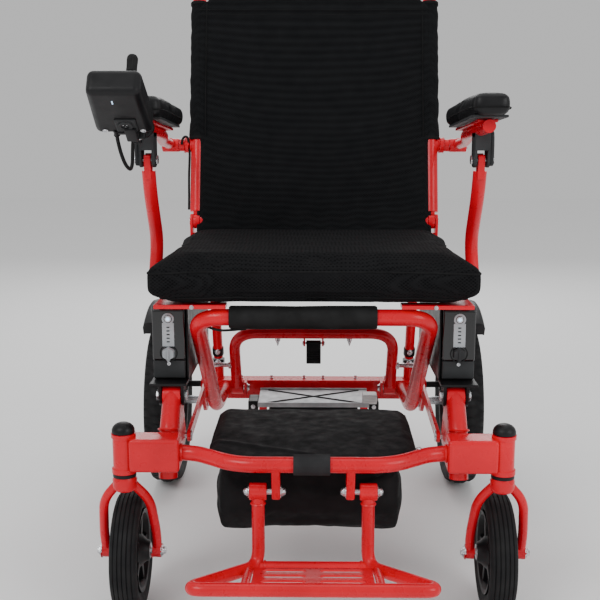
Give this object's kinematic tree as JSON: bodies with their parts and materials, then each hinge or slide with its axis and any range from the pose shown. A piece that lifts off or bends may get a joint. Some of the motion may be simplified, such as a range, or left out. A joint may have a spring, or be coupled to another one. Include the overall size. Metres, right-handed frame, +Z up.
{
  "type": "power wheelchair",
  "caption": "Folding power wheelchair with a bent tube frame, hub motor rear wheels, swivel casters, side batteries, joystick, mesh seat and flip-up footrest.",
  "frame": {"origin": "bottom centre of the box round the whole chair, on the floor", "axes": "+Y to the rear of the chair, +Z up, +X to the right as seen from the front"},
  "size_m": [0.636, 0.9039, 0.9596],
  "materials": {
    "red_paint": "glossy red powder coat on aluminium tube",
    "black_plastic": "black moulded plastic and black painted brackets",
    "battery_gloss": "glossy black battery casing",
    "black_mesh": "black spacer mesh upholstery and woven cloth",
    "tyre_rubber": "black rubber tyres, grips and lead",
    "grey_parts": "dark grey plastic and cast motor shells",
    "bright_steel": "plated steel fasteners"
  },
  "bodies": {
    "rear_frame": {"rear_frame": "red_paint", "front_sleeve": "black_mesh", "axle_beam": "red_paint", "seat_frame": "red_paint", "seat_cloth": "black_mesh", "seat_cushion": "black_mesh", "motor_controller": "grey_parts", "seat_strut_left": "red_paint", "fender_left": "grey_parts", "battery_tray_left": "black_plastic", "seat_strut_right": "red_paint", "fender_right": "grey_parts", "battery_tray_right": "black_plastic"},
    "front_frame": {"front_frame": "red_paint", "storage_bag": "black_mesh", "caster_cap_left": "black_plastic", "caster_cap_right": "black_plastic"},
    "footrest": {"footrest_frame": "red_paint", "footplate": "red_paint"},
    "lock_hoop": {"lock_hoop": "red_paint"},
    "latch_tongue": {"latch_tongue": "black_plastic"},
    "backrest": {"backrest_frame": "red_paint", "backrest_cloth": "black_mesh", "handle_grip_left": "tyre_rubber", "handle_grip_right": "tyre_rubber"},
    "joystick_gimbal": {"joystick_gimbal": "black_plastic"},
    "joystick_stick": {"joystick_stick": "black_plastic"},
    "power_button": {"power_button": "grey_parts"},
    "horn_button": {"horn_button": "grey_parts"},
    "speed_rocker": {"speed_rocker": "grey_parts"},
    "rear_wheel_left": {"hub_motor_left": "grey_parts", "rear_tyre_left": "tyre_rubber"},
    "caster_fork_left": {"caster_fork_left": "red_paint"},
    "caster_wheel_left": {"caster_hub_left": "black_plastic", "caster_tyre_left": "tyre_rubber"},
    "drag_link_left": {"drag_link_left": "red_paint"},
    "battery_left": {"battery_left": "battery_gloss"},
    "battery_knob_left": {"battery_knob_left": "grey_parts"},
    "battery_button_left": {"battery_button_left": "bright_steel"},
    "armrest_left": {"armrest_bar_left": "red_paint", "armrest_pad_left": "black_plastic", "joystick_housing": "black_plastic", "joystick_cable": "tyre_rubber"},
    "armrest_post_left": {"armrest_post_left": "red_paint"},
    "wing_lever_left": {"wing_lever_left": "black_plastic"},
    "rear_wheel_right": {"hub_motor_right": "grey_parts", "rear_tyre_right": "tyre_rubber"},
    "caster_fork_right": {"caster_fork_right": "red_paint"},
    "caster_wheel_right": {"caster_hub_right": "black_plastic", "caster_tyre_right": "tyre_rubber"},
    "drag_link_right": {"drag_link_right": "red_paint"},
    "battery_right": {"battery_right": "battery_gloss"},
    "battery_knob_right": {"battery_knob_right": "grey_parts"},
    "battery_button_right": {"battery_button_right": "bright_steel"},
    "armrest_right": {"armrest_bar_right": "red_paint", "armrest_pad_right": "black_plastic"},
    "armrest_post_right": {"armrest_post_right": "red_paint"},
    "wing_lever_right": {"wing_lever_right": "black_plastic"}
  },
  "joints": [
    {"name": "front_frame_fold", "type": "hinge", "parent": "rear_frame", "child": "front_frame", "pos_m": [0, -0.204, 0.312], "axis": [1, 0, 0], "range_deg": [0, 65]},
    {"name": "lock_hoop_swing", "type": "hinge", "parent": "rear_frame", "child": "lock_hoop", "pos_m": [0, 0.218, 0.205], "axis": [1, 0, 0], "range_deg": [-44.5, 0]},
    {"name": "latch_tongue_pull", "type": "hinge", "parent": "lock_hoop", "child": "latch_tongue", "pos_m": [0, 0.148, 0.307], "axis": [1, 0, 0], "range_deg": [0, 25], "stiffness_Nm_per_rad": 0.4},
    {"name": "footrest_flip", "type": "hinge", "parent": "front_frame", "child": "footrest", "pos_m": [0, -0.312, 0.206], "axis": [-1, 0, 0], "range_deg": [0, 92]},
    {"name": "backrest_fold", "type": "hinge", "parent": "rear_frame", "child": "backrest", "pos_m": [0, 0.198, 0.52], "axis": [1, 0, 0], "range_deg": [0, 75]},
    {"name": "joystick_pitch", "type": "hinge", "parent": "armrest_left", "child": "joystick_gimbal", "pos_m": [-0.241, -0.2904, 0.73653], "axis": [1, 0, 0], "range_deg": [-18, 18], "stiffness_Nm_per_rad": 0.3},
    {"name": "joystick_roll", "type": "hinge", "parent": "joystick_gimbal", "child": "joystick_stick", "pos_m": [-0.241, -0.2904, 0.73653], "axis": [0, 0.8387, -0.5446], "range_deg": [-18, 18], "stiffness_Nm_per_rad": 0.3},
    {"name": "power_button_press", "type": "slide", "parent": "armrest_left", "child": "power_button", "axis": [0, -0.5446, -0.8387], "range_m": [0, 0.0015], "stiffness_N_per_m": 400},
    {"name": "horn_button_press", "type": "slide", "parent": "armrest_left", "child": "horn_button", "axis": [0, -0.5446, -0.8387], "range_m": [0, 0.0015], "stiffness_N_per_m": 400},
    {"name": "speed_rocker_tilt", "type": "hinge", "parent": "armrest_left", "child": "speed_rocker", "pos_m": [-0.232, -0.32458, 0.76469], "axis": [0, 0.8387, -0.5446], "range_deg": [-4, 4], "stiffness_Nm_per_rad": 0.05},
    {"name": "rear_wheel_spin_left", "type": "hinge", "parent": "rear_frame", "child": "rear_wheel_left", "pos_m": [-0.281, 0.293, 0.159], "axis": [1, 0, 0], "continuous": true},
    {"name": "caster_swivel_left", "type": "hinge", "parent": "front_frame", "child": "caster_fork_left", "pos_m": [-0.265, -0.282, 0.25], "axis": [0, 0, 1], "continuous": true},
    {"name": "caster_spin_left", "type": "hinge", "parent": "caster_fork_left", "child": "caster_wheel_left", "pos_m": [-0.265, -0.244, 0.088], "axis": [1, 0, 0], "continuous": true},
    {"name": "drag_link_swing_left", "type": "hinge", "parent": "front_frame", "child": "drag_link_left", "pos_m": [-0.1865, -0.172, 0.24], "axis": [1, 0, 0], "range_deg": [-75.5, 0]},
    {"name": "battery_slide_left", "type": "slide", "parent": "rear_frame", "child": "battery_left", "axis": [0, -0.999, 0.0454], "range_m": [0, 0.3]},
    {"name": "battery_knob_turn_left", "type": "hinge", "parent": "battery_left", "child": "battery_knob_left", "pos_m": [-0.211, -0.197, 0.373], "axis": [0, -1, 0], "range_deg": [0, 90]},
    {"name": "battery_button_press_left", "type": "slide", "parent": "battery_left", "child": "battery_button_left", "axis": [0, 1, 0], "range_m": [0, 0.002], "stiffness_N_per_m": 300},
    {"name": "armrest_level_left", "type": "hinge", "parent": "backrest", "child": "armrest_left", "pos_m": [-0.259, 0.236, 0.653], "axis": [1, 0, 0], "range_deg": [-75.5, 0]},
    {"name": "armrest_post_swing_left", "type": "hinge", "parent": "rear_frame", "child": "armrest_post_left", "pos_m": [-0.246, -0.077, 0.465], "axis": [1, 0, 0], "range_deg": [0, 45.5]},
    {"name": "wing_lever_turn_left", "type": "hinge", "parent": "armrest_left", "child": "wing_lever_left", "pos_m": [-0.241, -0.148, 0.65], "axis": [-1, 0, 0], "range_deg": [0, 90]},
    {"name": "rear_wheel_spin_right", "type": "hinge", "parent": "rear_frame", "child": "rear_wheel_right", "pos_m": [0.281, 0.293, 0.159], "axis": [1, 0, 0], "continuous": true},
    {"name": "caster_swivel_right", "type": "hinge", "parent": "front_frame", "child": "caster_fork_right", "pos_m": [0.265, -0.282, 0.25], "axis": [0, 0, 1], "continuous": true},
    {"name": "caster_spin_right", "type": "hinge", "parent": "caster_fork_right", "child": "caster_wheel_right", "pos_m": [0.265, -0.244, 0.088], "axis": [1, 0, 0], "continuous": true},
    {"name": "drag_link_swing_right", "type": "hinge", "parent": "front_frame", "child": "drag_link_right", "pos_m": [0.1865, -0.172, 0.24], "axis": [1, 0, 0], "range_deg": [-75.5, 0]},
    {"name": "battery_slide_right", "type": "slide", "parent": "rear_frame", "child": "battery_right", "axis": [0, -0.999, 0.0454], "range_m": [0, 0.3]},
    {"name": "battery_knob_turn_right", "type": "hinge", "parent": "battery_right", "child": "battery_knob_right", "pos_m": [0.211, -0.197, 0.373], "axis": [0, -1, 0], "range_deg": [0, 90]},
    {"name": "battery_button_press_right", "type": "slide", "parent": "battery_right", "child": "battery_button_right", "axis": [0, 1, 0], "range_m": [0, 0.002], "stiffness_N_per_m": 300},
    {"name": "armrest_level_right", "type": "hinge", "parent": "backrest", "child": "armrest_right", "pos_m": [0.259, 0.236, 0.653], "axis": [1, 0, 0], "range_deg": [-75.5, 0]},
    {"name": "armrest_post_swing_right", "type": "hinge", "parent": "rear_frame", "child": "armrest_post_right", "pos_m": [0.246, -0.077, 0.465], "axis": [1, 0, 0], "range_deg": [0, 45.5]},
    {"name": "wing_lever_turn_right", "type": "hinge", "parent": "armrest_right", "child": "wing_lever_right", "pos_m": [0.241, -0.148, 0.65], "axis": [-1, 0, 0], "range_deg": [0, 90]}
  ],
  "couplings": [
    {"joint": "lock_hoop_swing", "follows": "front_frame_fold", "ratio": -0.68},
    {"joint": "drag_link_swing_left", "follows": "front_frame_fold", "ratio": -1.157},
    {"joint": "armrest_level_left", "follows": "backrest_fold", "ratio": -1},
    {"joint": "armrest_post_swing_left", "follows": "backrest_fold", "ratio": 0.6},
    {"joint": "drag_link_swing_right", "follows": "front_frame_fold", "ratio": -1.157},
    {"joint": "armrest_level_right", "follows": "backrest_fold", "ratio": -1},
    {"joint": "armrest_post_swing_right", "follows": "backrest_fold", "ratio": 0.6}
  ]
}
